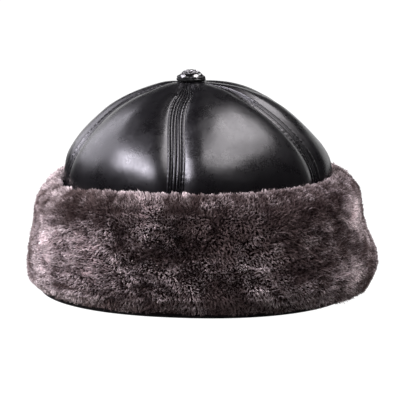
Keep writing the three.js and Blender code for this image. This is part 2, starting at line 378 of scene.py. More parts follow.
def makeClouded(name, finish, settings):
    material, tree, shader = newMaterial(name, settings)
    cloud = useGroup(tree, mottle, Scale=finish["scale"], Contrast=finish["contrast"])["Mask"]
    tree.links.new(mixColour(tree, cloud, *finish["tones"]), shader.inputs["Base Color"])
    tree.links.new(mapRange(tree, cloud, 0.0, 1.0, *finish["roughness"]), shader.inputs["Roughness"])
    addBump(tree, shader, cloud, finish["depth"])
    return material


hairRoughness = {"root": 0.9, "tip": 0.55}
hideFinish = {"scale": 300.0, "contrast": 3.0, "along": 0.35, "roughness": [0.85, 1.0], "depth": 0.5}


def makeFur():
    # each hair carries how far along it is, its own tone and how frosted it is
    material, tree, shader = newMaterial("shearedFur", {"Specular IOR Level": 0.3})
    hair = addNode(tree, "ShaderNodeAttribute", attribute_name="hair").outputs["Color"]
    parts = addNode(tree, "ShaderNodeSeparateColor", {"Color": hair}).outputs
    tone = useGroup(tree, frostedHair, Along=parts["Red"], Tone=parts["Green"], Frost=parts["Blue"])
    tree.links.new(tone["Color"], shader.inputs["Base Color"])
    matt = mapRange(tree, parts["Red"], 0.0, 1.0, hairRoughness["root"], hairRoughness["tip"])
    tree.links.new(matt, shader.inputs["Roughness"])
    return material


def makeHide():
    material, tree, shader = newMaterial("furHide", {"Specular IOR Level": 0.2})
    finish = hideFinish
    cloud = useGroup(tree, mottle, Scale=finish["scale"], Contrast=finish["contrast"])["Mask"]
    tone = useGroup(tree, frostedHair, Along=finish["along"], Tone=cloud, Frost=0.0)
    tree.links.new(tone["Color"], shader.inputs["Base Color"])
    tree.links.new(mapRange(tree, cloud, 0.0, 1.0, *finish["roughness"]), shader.inputs["Roughness"])
    addBump(tree, shader, cloud, finish["depth"])
    return material


crownLeather = makeLeather("crownLeather", crownFinish)
rimLeather = makeLeather("rimLeather", rimFinish)
suedeInside = makeSuede()
waxedThread = makeClouded("waxedThread", cloudedFinishes["thread"], {"Specular IOR Level": 0.5})
blackLacquer = makeClouded("blackLacquer", cloudedFinishes["lacquer"], {"Specular IOR Level": 0.25})
silverPlate = makeClouded("silverPlate", cloudedFinishes["silver"], {"Metallic": 1.0})
shearedFur = makeFur()
furHide = makeHide()
print("materials made")


# Pieces
def addPiece(name, points, faces, materials, nodes, wears=None, sharp=50):
    mesh = bpy.data.meshes.new(name)
    mesh.from_pydata((np.asarray(points).reshape(-1, 3) * mm).tolist(), [], faces)
    for material in materials:
        mesh.materials.append(material)
    if wears is not None:
        mesh.polygons.foreach_set("material_index", wears)
    mesh.shade_smooth()
    mesh.set_sharp_from_angle(angle=math.radians(sharp))
    piece = bpy.data.objects.new(name, mesh)
    return placePiece(piece, nodes)


def placePiece(piece, nodes):
    bpy.context.scene.collection.objects.link(piece)
    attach(piece, "root")
    if nodes:
        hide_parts(*nodes)
    return piece


def ringFaces(around, points, first=0):
    # quads of a ring made of closed sections
    faces = []
    for i in range(around):
        here = first + i * points
        after = first + (i + 1) % around * points
        for j in range(points):
            k = (j + 1) % points
            faces.append((here + j, after + j, after + k, here + k))
    return faces


# The crown
crown = {
    "halfWidth": 89,
    "halfLength": 95,
    "leather": 2,
    "centreX": -5.3,
    "buttonX": -10.3,
    "driftRadius": 35,
}
crownWall = {
    "height": [2.7, 36, 66, 81, 94, 106, 117, 126, 133, 136.6, 138],
    "radius": [88.6, 89, 88.9, 87, 80.6, 71, 59, 45.2, 29.4, 15.6, 3.6],
}
panels = {
    "turn": [-1, 71, 110, 178, 234, 290],
    "puff": [2.2, 2.2, 3.2, 2, 3.1, 1.8],
    "press": [1.2, -2, 0.8, 1, -0.4, 0.9],
}
panelEnds = [*panels["turn"][1:], panels["turn"][0] + 360]
twist = {"degrees": -7, "radius": 88, "fullRadius": 40}
puffFrom = {"height": 68, "full": 92, "topRadius": 9, "fullRadius": 60}
pressed = {"height": 88, "reach": 14}
# Slow and quick swells of the leather, which die away towards the button
leatherWaves = [{"pitch": 34, "seed": 5, "depth": 0.30}, {"pitch": 13, "seed": 6, "depth": 0.10}]
calm = {"radius": 5, "fullRadius": 30}
# A seam from its line outwards: how far out each ridge and groove of the leather lies, and how high
seamRelief = {
    "out": [-0.03, 0.42, 1.1, 1.8, 2.15, 2.5, 3.0, 3.5, 3.85, 4.2, 4.7, 5.3, 6.0],
    "rise": [-1.3, -0.1, 0.22, 0.0, -0.75, -0.05, 0.25, -0.05, -0.85, -0.05, 0.42, 0.4, -0.3],
}
# The leather falls from a panel's shoulder to its seam, and stitches pull it into puckers
seam = {
    "fall": 1.3,
    "fallFrom": 6.0,
    "fallTo": 13,
    "lift": 0.75,
    "stitchOut": 3.85,
    "pitch": 3.4,
    "hole": 0.2,
    "holeReach": 0.6,
    "pucker": 0.12,
    "pull": 0.55,
    "pullStray": 0.45,
    "width": 6.0,
    "narrowing": 0.26,
    "hiddenTo": 64,
    "shownFrom": 72,
    "topHalf": 2.5,
    "fullHalf": 12,
}
# Where puckers lie from the seam, how far they reach and how deep they are next to the first
puckers = [{"out": 5.0, "reach": 1.3, "share": 1}, {"out": 3.6, "reach": 0.7, "share": 0.4}]
# A soft crease runs down the right side, over a dent
fold = {
    "panel": 1,
    "turn": 88,
    "rise": 0.5,
    "reach": 5,
    "lowest": 96,
    "full": 108,
    "dentTurn": 101,
    "dent": 0.4,
    "dentUp": 106,
}
stretch = crown["halfLength"] / crown["halfWidth"]
wallCurve, wallLength = splineThrough(np.stack([crownWall["radius"], crownWall["height"]], axis=1), 2400)
wallSlope = unit(np.gradient(wallCurve, axis=0))
wallEnd = wallLength[-1]


def wallAt(length):
    # radius, height and outward normal at a length along the crown's wall
    radius = np.interp(length, wallLength, wallCurve[:, 0])
    height = np.interp(length, wallLength, wallCurve[:, 1])
    normalOut = np.interp(length, wallLength, wallSlope[:, 1])
    normalUp = np.interp(length, wallLength, -wallSlope[:, 0])
    return radius, height, normalOut, normalUp


def crownPoint(turn, length, rise):
    radius, height, normalOut, normalUp = wallAt(length)
    drift = ease(radius, crownWall["radius"][-1], crown["driftRadius"])
    middle = mix(crown["buttonX"], crown["centreX"], drift)
    turn = turn + math.radians(twist["degrees"]) * (1 - ease(radius, twist["fullRadius"], twist["radius"]))
    out = unit(np.stack(np.broadcast_arrays(np.sin(turn) * stretch, -np.cos(turn)), axis=-1))
    x = radius * np.sin(turn) + middle + out[..., 0] * normalOut * rise
    y = -radius * stretch * np.cos(turn) + out[..., 1] * normalOut * rise
    z = height + normalUp * rise
    return np.stack(np.broadcast_arrays(x, y, z), axis=-1)


def panelBody(number, share, length, turn):
    # how far a panel puffs out between its seams, is pressed in above the cuff, and waves a little
    radius, height, _, _ = wallAt(length)
    arch = np.sin(math.pi * share)
    puffShare = ease(height, puffFrom["height"], puffFrom["full"]) * ease(
        radius, puffFrom["topRadius"], puffFrom["fullRadius"]
    )
    pressShare = bell(height - pressed["height"], pressed["reach"])
    waves = sum(softWaves(turn, height, **wave) for wave in leatherWaves)
    if number == fold["panel"]:
        waves = waves + foldRise(turn, radius, height)
    shown = ease(height, seam["hiddenTo"], seam["shownFrom"])
    return (
        panels["puff"][number] * puffShare * arch
        - panels["press"][number] * pressShare * arch**2
        + waves * shown * arch * ease(radius, calm["radius"], calm["fullRadius"])
    )


def foldRise(turn, radius, height):
    fromCrease = radius * (turn - math.radians(fold["turn"]))
    fromDent = radius * (turn - math.radians(fold["dentTurn"]))
    wide = 2 * fold["reach"]
    crease = fold["rise"] * bell(fromCrease, fold["reach"]) * ease(height, fold["lowest"], fold["full"])
    return crease - fold["dent"] * bell(fromDent, wide) * bell(height - fold["dentUp"], wide)


def seamRise(out, length):
    # the relief beside a seam: ridges, grooves, stitch holes and the puckers that they pull
    rise = np.interp(out, seamRelief["out"], seamRelief["rise"], right=0)
    rise = rise + seam["lift"] - seam["fall"] * (1 - ease(out, seam["fallFrom"], seam["fallTo"]))
    number = np.round(length / seam["pitch"])
    fromHole = length - number * seam["pitch"]
    hole = bell(fromHole, seam["holeReach"]) * bell(out - seam["stitchOut"], seam["holeReach"])
    pull = seam["pull"] + seam["pullStray"] * np.sin(number * 12.9898) * np.sin(number * 4.233)
    wave = -np.cos(fullTurn * length / seam["pitch"])
    spread = sum(pucker["share"] * bell(out - pucker["out"], pucker["reach"]) for pucker in puckers)
    return rise - seam["hole"] * hole + seam["pucker"] * pull * wave * spread


def seamSqueeze(radius, step):
    # seams draw together as the panels narrow towards the button
    half = radius * (1 + stretch) * step / 4
    return half, np.minimum(1, seam["narrowing"] * half / seam["width"])


def seamShown(length, half):
    height = wallAt(length)[1]
    return ease(height, seam["hiddenTo"], seam["shownFrom"]) * ease(half, seam["topHalf"], seam["fullHalf"])


def shellFaces(rows, columns, rowStops, columnStops):
    # a fine outer grid, a coarse inner grid behind some of its points, and the edges that join them
    wide = len(columnStops)

    def outerAt(row, column):
        return row * columns + column

    def innerAt(row, column):
        return rows * columns + row * wide + column

    outside = [
        (outerAt(r, c), outerAt(r, c + 1), outerAt(r + 1, c + 1), outerAt(r + 1, c))
        for r in range(rows - 1)
        for c in range(columns - 1)
    ]
    inside = [
        (innerAt(i, j), innerAt(i + 1, j), innerAt(i + 1, j + 1), innerAt(i, j + 1))
        for i in range(len(rowStops) - 1)
        for j in range(wide - 1)
    ]
    top = len(rowStops) - 1
    for i, (low, high) in enumerate(zip(rowStops, rowStops[1:])):
        run = range(low, high + 1)
        near = [outerAt(r, 0) for r in run]
        far = [outerAt(r, columns - 1) for r in reversed(run)]
        inside.append(near + [innerAt(i + 1, 0), innerAt(i, 0)])
        inside.append([innerAt(i, wide - 1), innerAt(i + 1, wide - 1)] + far)
    for j, (low, high) in enumerate(zip(columnStops, columnStops[1:])):
        run = range(low, high + 1)
        foot = [outerAt(0, c) for c in reversed(run)]
        head = [outerAt(rows - 1, c) for c in run]
        inside.append([innerAt(0, j), innerAt(0, j + 1)] + foot)
        inside.append(head + [innerAt(top, j + 1), innerAt(top, j)])
    return outside, inside


def stopsOf(count, every):
    return list(range(0, count - 1, every)) + [count - 1]


# How far apart a panel's rows lie, how many columns cross its middle, and how coarse its inside is
panelGrid = {"rowStep": 0.8, "hiddenRows": 9, "middle": 17, "everyRow": 6, "everyColumn": 4}


def panelColumns(half, squeeze):
    # how far across the panel each column lies: close together beside the seams, wider in the middle
    out = np.array(seamRelief["out"])
    between = (out[1:-3] + out[2:-2]) / 2
    nearAt = np.sort(np.concatenate([out, between]))[None, :] * squeeze
    shares = (1 - np.cos(np.linspace(0, math.pi, panelGrid["middle"])[None, 1:-1])) / 2
    middleAt = mix(nearAt[:, -1:], 2 * half - nearAt[:, -1:], shares)
    return np.concatenate([nearAt, middleAt, (2 * half - nearAt)[:, ::-1]], axis=1)


def makePanel(number):
    start = math.radians(panels["turn"][number])
    step = math.radians(panelEnds[number]) - start
    hiddenEnd = np.interp(seam["hiddenTo"], wallCurve[:, 1], wallLength)
    shownRows = np.arange(wallEnd, hiddenEnd, -panelGrid["rowStep"])[::-1]
    hiddenRows = np.linspace(0, shownRows[0], panelGrid["hiddenRows"])[:-1]
    lengths = np.concatenate([hiddenRows, shownRows])[:, None]
    half, squeeze = seamSqueeze(wallAt(lengths)[0], step)
    across = panelColumns(half, squeeze)
    share = across / (2 * half)
    turn = start + step * share
    body = panelBody(number, share, lengths, turn)
    fromSeam = np.minimum(across, 2 * half - across) / squeeze
    edge = seamRise(fromSeam, lengths) * seamShown(lengths, half)
    outer = crownPoint(turn, lengths, body + edge)
    rows, columns = share.shape
    rowStops = stopsOf(rows, panelGrid["everyRow"])
    columnStops = stopsOf(columns, panelGrid["everyColumn"])
    inner = crownPoint(turn, lengths, body - crown["leather"])[np.ix_(rowStops, columnStops)]
    outside, inside = shellFaces(rows, columns, rowStops, columnStops)
    points = np.concatenate([outer.reshape(-1, 3), inner.reshape(-1, 3)])
    wears = [0] * len(outside) + [1] * len(inside)
    name = f"crown_leather_{number + 1}"
    node = f"crown_panel_{number + 1}"
    addPiece(name, points, outside + inside, [crownLeather, suedeInside], [node], wears)


thread = {"radius": 0.23, "arch": 0.3, "sink": 0.25, "span": 0.92, "steps": 7, "sides": 5, "leastHalf": 4}


def tubeFaces(steps, sides, first):
    faces = []
    for i in range(steps - 1):
        for j in range(sides):
            k = (j + 1) % sides
            low = first + i * sides
            faces.append((low + j, low + k, low + sides + k, low + sides + j))
    faces.append(tuple(first + j for j in reversed(range(sides))))
    faces.append(tuple(first + (steps - 1) * sides + j for j in range(sides)))
    return faces


def tubePoints(path, radii, sides, closed=False):
    # rings of points around a path
    along = unit(np.roll(path, -1, 0) - np.roll(path, 1, 0)) if closed else unit(np.gradient(path, axis=0))
    side = unit(np.cross(along, [0.31, 0.17, 0.93]))
    other = np.cross(along, side)
    angle = np.arange(sides) / sides * fullTurn
    ring = side[:, None] * np.cos(angle)[None, :, None] + other[:, None] * np.sin(angle)[None, :, None]
    return path[:, None] + ring * np.broadcast_to(radii, len(path))[:, None, None]


def makeStitches(number):
    # two rows of topstitching along a seam, each stitch arched between its holes
    turn = math.radians(panels["turn"][number])
    stepBefore = turn - math.radians(panels["turn"][number - 1]) + (fullTurn if number == 0 else 0)
    stepAfter = math.radians(panelEnds[number]) - turn
    shares = np.linspace(-0.5, 0.5, thread["steps"])
    hiddenEnd = np.interp(seam["shownFrom"], wallCurve[:, 1], wallLength)
    points, faces = [], []
    for direction, step in ((-1, stepBefore), (1, stepAfter)):
        for hole in range(int(hiddenEnd / seam["pitch"]) - 1, int(wallEnd / seam["pitch"]) - 1):
            lengths = (hole + 0.5 + shares * thread["span"]) * seam["pitch"]
            radius = wallAt(lengths)[0]
            half, squeeze = seamSqueeze(radius, step)
            if half.min() < thread["leastHalf"]:
                continue
            lift = mix(-thread["sink"], thread["arch"], 1 - (2 * shares) ** 4)
            rise = seamRise(seam["stitchOut"], lengths) * seamShown(lengths, half) + lift
            away = direction * seam["stitchOut"] * squeeze * 2 / (radius * (1 + stretch))
            path = crownPoint(turn + away, lengths, rise)
            first = thread["sides"] * thread["steps"] * len(points)
            faces += tubeFaces(thread["steps"], thread["sides"], first)
            points.append(tubePoints(path, thread["radius"], thread["sides"]))
    name = f"topstitch_{number + 1}"
    addPiece(name, np.array(points), faces, [waxedThread], [])


for panelNumber in range(len(panels["turn"])):
    makePanel(panelNumber)
    makeStitches(panelNumber)
print("crown sewn")


# The cuff's sections at four turns from the forehead: distances out from the crown, and heights
cuffOut = {
    "turn": [0, 90, 180, 270],
    "edge": [18.5, 18.5, 18.5, 15.5],
    "foot": [22, 28, 22, 17],
    "full": [28, 33, 28, 23],
    "waist": [25, 24, 25, 19],
    "shoulder": [20, 19.5, 20, 16.5],
    "crest": [8, 8, 8, 6],
}
cuffUp = {
    "turn": [0, 90, 180, 270],
    "full": [16, 21, 15, 13],
    "waist": [45, 43, 46, 46],
    "crest": [76.5, 78.5, 78, 75.5],
}
# The crest is pressed down at the left of the forehead
crestDip = {"turn": math.radians(302), "reach": math.radians(24), "depth": 4.6}
cuff = {
    "inner": 0.9,
    "bottom": 2.6,
    "footUp": 3.4,
    "footTuck": 2,
    "shoulderDown": 12,
    "throat": 1.6,
    "lip": 4,
}
# Seen from above, the cuff grows from the crown's oval to a slightly squarer one this far out
cuffPlan = {"out": 19, "squareness": 2.22}


def rowAt(table, turn):
    # the values of a table at any turn, eased between its rows
    quarter = fullTurn / 4
    before = (turn / quarter).astype(int) % 4
    share = ease(turn - before * quarter, 0, quarter)
    columns = {key: np.array(values, float) for key, values in table.items() if key != "turn"}
    return {key: mix(values[before], values[(before + 1) % 4], share) for key, values in columns.items()}


def cuffUpAt(turn):
    up = rowAt(cuffUp, turn)
    up["crest"] = up["crest"] - crestDip["depth"] * bell(turn - crestDip["turn"], crestDip["reach"])
    return up


def cuffPoint(turn, out, up):
    # a point around the crown's foot, by its distance out and its height
    radius = np.interp(np.maximum(up, crownWall["height"][0]), wallCurve[:, 1], wallCurve[:, 0])
    power = mix(2, cuffPlan["squareness"], np.clip(out / cuffPlan["out"], 0, 1))
    sine, cosine = np.sin(turn), np.cos(turn)
    reach = (np.abs(sine) ** power + np.abs(cosine) ** power) ** (-1 / power)
    x = (radius + out) * sine * reach + crown["centreX"]
    y = -(radius * stretch + out) * cosine * reach
    return np.stack(np.broadcast_arrays(x, y, up), axis=-1)


rim = {"inward": 3, "thickness": 2.3, "round": 0.9, "around": 240, "corner": 5}


def makeRim():
    # the leather band that binds the hat's lower edge, with rounded edges
    turn = np.arange(rim["around"]) / rim["around"] * fullTurn
    edge = rowAt(cuffOut, turn)["edge"]
    corner = np.linspace(0, math.pi / 2, rim["corner"])
    middle = rim["thickness"] / 2
    rings = []
    for outSide, upSide in ((1, -1), (1, 1), (-1, 1), (-1, -1)):
        side = edge if outSide > 0 else -rim["inward"]
        angles = corner if outSide * upSide < 0 else corner[::-1]
        for angle in angles:
            out = side + outSide * rim["round"] * (math.sin(angle) - 1)
            up = middle + upSide * (middle - rim["round"] * (1 - math.cos(angle)))
            rings.append(cuffPoint(turn, out, up + 0 * turn))
    faces = ringFaces(rim["around"], len(rings))
    addPiece("rim_leather", np.stack(rings, axis=1), faces, [rimLeather], ["rim_binding"])


makeRim()
print("rim bound")

# The locks of the fur and the slow swells under them, and how finely its surface is worked out
lock = {"rise": 1.5, "sink": 0.6, "least": 0.3, "across": 112, "tiers": 16, "kept": 0.5}
swell = {"depth": 0.7, "slow": 5, "fast": 9, "climb": 0.06}
grid = {"turns": 560, "tiers": 96}


def lockRise(column, tier):
    tip = (column + tier) % 2 == 1
    return np.where(tip, lock["rise"], -lock["sink"]) * mix(lock["least"], 1, scatter(column, tier))


def eased(table, rowPlace, columnPlace):
    # values between the entries of a grid that closes round the hat in its rows
    rows, columns = table.shape[:2]
    row = np.floor(rowPlace).astype(int)
    column = np.clip(np.floor(columnPlace).astype(int), 0, columns - 2)
    flat = np.broadcast(rowPlace, columnPlace).shape
    shape = flat + (1,) * (table.ndim - 2)
    down = np.broadcast_to(rowPlace - row, flat).reshape(shape)
    over = np.broadcast_to(columnPlace - column, flat).reshape(shape)
    here = mix(table[row % rows, column], table[row % rows, column + 1], over)
    after = mix(table[(row + 1) % rows, column], table[(row + 1) % rows, column + 1], over)
    return mix(here, after, down)


def furSurface():
    # the outside of the fur as a grid of places, with its outward, sideways and upward directions
    turn = np.arange(grid["turns"]) / grid["turns"] * fullTurn
    out = rowAt(cuffOut, turn)
    up = cuffUpAt(turn)
    sections = []
    for i in range(grid["turns"]):
        shoulderUp = up["crest"][i] - cuff["shoulderDown"]
        section = [
            (out["foot"][i], cuff["footUp"]),
            (out["full"][i], up["full"][i]),
            (out["waist"][i], up["waist"][i]),
            (out["shoulder"][i], shoulderUp),
            (out["crest"][i], up["crest"][i]),
            (cuff["throat"], up["crest"][i] - cuff["lip"]),
        ]
        sections.append(splineThrough(section, grid["tiers"])[0])
    sections = np.array(sections)
    place = np.linspace(0, 1, grid["tiers"])[None, :]
    pile = np.sqrt(np.sin(math.pi * place))
    columns, tiers = np.meshgrid(np.arange(lock["across"]), np.arange(lock["tiers"] + 1), indexing="ij")
    lockPlace = turn[:, None] / fullTurn * lock["across"]
    locks = eased(lockRise(columns, tiers), lockPlace, place * lock["tiers"])
    slow = np.sin(swell["slow"] * turn[:, None] + swell["climb"] * sections[..., 1])
    fast = np.sin(swell["fast"] * turn[:, None] - swell["climb"] * sections[..., 1])
    rise = pile * (lock["kept"] * locks + swell["depth"] * (slow + fast) / 2)
    crest = up["crest"][:, None]
    upward = ease(sections[..., 1], crest - cuff["shoulderDown"] - cuff["lip"], crest)
    out = sections[..., 0] + rise * (1 - upward)
    places = cuffPoint(turn[:, None], out, sections[..., 1] + rise * upward)
    sideways = unit(np.roll(places, -1, 0) - np.roll(places, 1, 0))
    climbing = unit(np.gradient(places, axis=1))
    outward = unit(np.cross(sideways, climbing))
    return {"place": places, "out": outward, "side": sideways, "climb": np.cross(outward, sideways)}


skin = furSurface()

hide = {"depth": 4.2, "around": 280, "tiers": 32, "thinnest": 0.02, "tuck": 1}


def makeHidePiece():
    # the sheepskin's own leather, under the pile and down against the crown
    turns = np.arange(hide["around"]) / hide["around"]
    tiers = np.linspace(0, 1, hide["tiers"])
    rowPlace = turns[:, None] * grid["turns"]
    columnPlace = tiers[None, :] * (grid["tiers"] - 1)
    places = eased(skin["place"], rowPlace, columnPlace)
    outward = eased(skin["out"], rowPlace, columnPlace)
    inside = np.clip(tiers, hide["thinnest"], 1 - hide["thinnest"])
    deep = hide["depth"] * np.sqrt(np.sin(math.pi * inside))[None, :, None]
    under = places - outward * deep
    turn = turns * fullTurn
    foot = rowAt(cuffOut, turn)["foot"]
    top = cuffUpAt(turn)["crest"] - 2 * cuff["lip"]
    inner = cuffPoint(turn, cuff["inner"], cuff["bottom"] + 0 * turn)
    tucked = cuffPoint(turn, foot - cuff["footTuck"] - hide["tuck"], cuff["bottom"] + 0 * turn)
    back = cuffPoint(turn, cuff["inner"], top)
    points = np.concatenate([inner[:, None], tucked[:, None], under, back[:, None]], axis=1)
    faces = ringFaces(hide["around"], points.shape[1])
    addPiece("fur_hide", points, faces, [furHide], ["fur_cuff"])


makeHidePiece()
print("hide turned up")

# Tufts of the fur: how many there are, how deep their hairs stand, how they lean and how wide a hair is
fur = {
    "across": 640,
    "tiers": 98,
    "hairs": 4,
    "depth": 5.0,
    "spread": 0.7,
    "clump": 0.55,
    "stray": 0.22,
    "lean": 1.3,
    "leastLean": 0.55,
    "brushStray": 0.9,
    "droop": 0.3,
    "midLean": 0.34,
    "midUp": 0.62,
    "midWidth": 0.36,
    "tipWidth": 0.26,
    "thinnest": 0.7,
    "thickest": 1.2,
    "facing": 0.8,
    "uneven": 0.32,
    "tipUneven": 0.25,
    "clear": 0.4,
    "margin": 0.004,
}
# How the pile waves and how its tips are frosted
furWaves = {
    "brush": {"pitch": 46, "seed": 21, "depth": math.pi},
    "lean": {"pitch": 22, "seed": 22, "depth": 0.35},
    "cloud": {"pitch": 30, "seed": 23, "depth": 0.12},
    "flecks": {"pitch": 9, "seed": 24, "depth": 0.10},
    "tone": {"pitch": 7, "seed": 25, "depth": 0.10},
    "clumps": {"pitch": 8, "seed": 26},
    "streaks": {"pitch": 4.5, "seed": 27, "waves": 16, "stretched": 5},
}
furLook = {
    "tone": 0.5,
    "toneSpread": 0.24,
    "toneStray": 0.14,
    "frost": 0.22,
    "leastFrost": 0.02,
    "streakFrost": 0.10,
    "streakRise": 0.4,
    "crestFrom": 0.74,
    "crestFull": 0.86,
    "crestFrost": 0.18,
    "clumpFrost": 0.22,
    "crestUneven": 0.4,
    "clumpRise": 0.8,
}
# Patches of painted light and painted shade on the fur's tips, some over real partings where the pile
# sinks, by where they lie:
# the turn from the forehead, the height, how far they reach to each side and upwards, how much painted
# light the tips take there (painted shade below zero), and how much the pile sinks
patches = [
    {"turn": -50, "height": 36, "wide": 24, "high": 20, "paintedLight": 0.40, "sink": 0},
    {"turn": -26, "height": 36, "wide": 22, "high": 24, "paintedLight": 0.50, "sink": 0},
    {"turn": -8, "height": 63, "wide": 10, "high": 11, "paintedLight": 0.24, "sink": 0},
    {"turn": -40, "height": 64, "wide": 26, "high": 9, "paintedLight": -0.24, "sink": 0.3},
    {"turn": -38, "height": 15, "wide": 14, "high": 1.8, "paintedLight": -0.7, "sink": 1.5},
    {"turn": -18, "height": 46, "wide": 6, "high": 4, "paintedLight": -0.35, "sink": 0.8},
    {"turn": -60, "height": 14, "wide": 24, "high": 9, "paintedLight": 0.16, "sink": 0},
    {"turn": 2, "height": 22, "wide": 20, "high": 12, "paintedLight": 0.20, "sink": 0},
    {"turn": 14, "height": 50, "wide": 26, "high": 20, "paintedLight": -0.14, "sink": 0},
    {"turn": 18, "height": 10, "wide": 22, "high": 9, "paintedLight": -0.36, "sink": 0.4},
    {"turn": 26, "height": 21, "wide": 8, "high": 11, "paintedLight": 0.24, "sink": 0},
    {"turn": 44, "height": 74, "wide": 26, "high": 7, "paintedLight": -0.42, "sink": 0.4},
    {"turn": -42, "height": 74, "wide": 24, "high": 5, "paintedLight": -0.50, "sink": 0.6},
    {"turn": 72, "height": 74, "wide": 18, "high": 7, "paintedLight": -0.46, "sink": 0.6},
    {"turn": 44, "height": 44, "wide": 20, "high": 20, "paintedLight": -0.16, "sink": 0},
    {"turn": 46, "height": 63, "wide": 20, "high": 7, "paintedLight": -0.30, "sink": 0.6},
    {"turn": 64, "height": 20, "wide": 15, "high": 11, "paintedLight": 0.48, "sink": 0},
    {"turn": 76, "height": 54, "wide": 15, "high": 20, "paintedLight": 0.52, "sink": 0},
    {"turn": 84, "height": 32, "wide": 9, "high": 7, "paintedLight": -0.2, "sink": 0},
]


# The fur's usual distance from the hat's middle
furRadius = 110


def paintedLightPatches(turn, height):
    # painted light on the tips, painted shade where it is below zero; the sink is a real dip in the pile
    paintedLight = np.zeros(turn.shape)
    sink = np.zeros(turn.shape)
    for patch in patches:
        away = (turn - math.radians(patch["turn"]) + math.pi) % fullTurn - math.pi
        share = bell(away * furRadius, patch["wide"]) * bell(height - patch["height"], patch["high"])
        paintedLight += patch["paintedLight"] * share
        sink += patch["sink"] * share
    return paintedLight, sink


def makeTufts(first, last):
    # the tufts of a stretch of the cuff: where each stands and how it leans, curls and is coloured
    columns = np.arange(first, last)
    column, tier = (a.ravel() for a in np.meshgrid(columns, np.arange(fur["tiers"]), indexing="ij"))
    count = len(column)
    around = (column + 0.5 * (tier % 2) + draws.uniform(-0.5, 0.5, count)) / fur["across"]
    along = (tier + 0.5 + draws.uniform(-0.5, 0.5, count)) / fur["tiers"]
    along = np.clip(along, fur["margin"], 1 - fur["margin"])
    at = around * grid["turns"], along * (grid["tiers"] - 1)
    tuft = {key: eased(values, *at) for key, values in skin.items()}
    turn = around * fullTurn
    height = tuft["place"][:, 2]
    wave = {key: softWaves(turn, height, **values) for key, values in furWaves.items()}
    # painted light and painted shade for the tips, and real sinks of the pile, from the patches
    paintedLight, sink = paintedLightPatches(turn, height)
    brush = wave["brush"] + draws.normal(0, fur["brushStray"], count)
    lean = fur["lean"] * (mix(fur["leastLean"], 1, draws.uniform(0, 1, count)) + wave["lean"])
    tuft["leanSide"] = lean * np.cos(brush)
    tuft["leanClimb"] = lean * np.sin(brush) - fur["droop"]
    crestShare = ease(along, furLook["crestFrom"], furLook["crestFull"])
    ragged = draws.normal(0, furLook["crestUneven"], count) + furLook["clumpRise"] * wave["clumps"]
    uneven = draws.normal(0, fur["uneven"], count) + furLook["streakRise"] * wave["streaks"]
    tuft["rise"] = np.sqrt(np.sin(math.pi * along)) * uneven - sink + crestShare * ragged
    tone = furLook["tone"] + draws.normal(0, furLook["toneSpread"], count) + wave["tone"]
    tuft["tone"] = np.clip(tone, 0, 1)
    streaked = furLook["streakFrost"] * wave["streaks"] + wave["cloud"] + wave["flecks"]
    # the tips' frost, with the patches' painted light and painted shade added to it
    frost = furLook["frost"] + paintedLight + streaked
    crestFrost = crestShare * (furLook["crestFrost"] + furLook["clumpFrost"] * wave["clumps"])
    tuft["frost"] = np.clip(frost + crestFrost, furLook["leastFrost"], 1)
    return tuft


# A hair is a narrow blade of five corners: a triangle from its root, then a quad to its cut tip
blade = {
    "corners": 5,
    "along": [0, fur["midUp"], fur["midUp"], 1, 1],
    "loops": [0, 1, 2, 1, 4, 3, 2],
    "starts": [0, 3],
    "map": [(0.5, 0.1), (0.1, 0.5), (0.9, 0.5), (0.1, 0.5), (0.1, 0.9), (0.9, 0.9), (0.9, 0.5)],
}


def placeOn(tuft, side, climb, out):
    # points beside each tuft, by how far they lie sideways, upwards and outwards from it
    steps = zip((tuft["side"], tuft["climb"], tuft["out"]), (side, climb, out))
    return tuft["place"][:, None] + sum(way[:, None] * far[..., None] for way, far in steps)


def bladeCorners(tuft, root, middle, tip):
    facing = tuft["out"][:, None] + fur["facing"] * draws.normal(0, 1, tip.shape)
    across = unit(np.cross(tip - middle, facing))
    half = across * draws.uniform(fur["thinnest"], fur["thickest"], tip.shape[:2])[..., None] / 2
    wide = half * fur["midWidth"]
    narrow = half * fur["tipWidth"]
    corners = np.stack([root, middle - wide, middle + wide, tip + narrow, tip - narrow], axis=2)
    corners = corners.reshape(-1, 3)
    corners[:, 2] = np.maximum(corners[:, 2], fur["clear"])
    return corners


def makeHairs(name, first, last):
    tuft = makeTufts(first, last)
    shape = (len(tuft["tone"]), fur["hairs"])
    angle = draws.uniform(0, fullTurn, shape)
    far = fur["spread"] * np.sqrt(draws.uniform(0, 1, shape))
    rootSide, rootClimb = far * np.cos(angle), far * np.sin(angle)
    tipSide = fur["clump"] * rootSide + tuft["leanSide"][:, None] + draws.normal(0, fur["stray"], shape)
    tipClimb = fur["clump"] * rootClimb + tuft["leanClimb"][:, None] + draws.normal(0, fur["stray"], shape)
    tipOut = tuft["rise"][:, None] + draws.normal(0, fur["tipUneven"], shape)
    midSide = mix(rootSide, tipSide, fur["midLean"])
    midClimb = mix(rootClimb, tipClimb, fur["midLean"])
    root = placeOn(tuft, rootSide, rootClimb, np.full(shape, -fur["depth"]))
    middle = placeOn(tuft, midSide, midClimb, mix(-fur["depth"], tipOut, fur["midUp"]))
    corners = bladeCorners(tuft, root, middle, placeOn(tuft, tipSide, tipClimb, tipOut))
    hairs = shape[0] * shape[1]
    tone = np.clip(tuft["tone"][:, None] + draws.normal(0, furLook["toneStray"], shape), 0, 1)
    colour = np.ones((hairs, blade["corners"], 4), np.float32)
    colour[..., 0] = blade["along"]
    colour[..., 1] = tone.reshape(-1, 1)
    colour[..., 2] = np.broadcast_to(tuft["frost"][:, None], shape).reshape(-1, 1)
    return addHairMesh(name, corners * mm, colour, hairs)


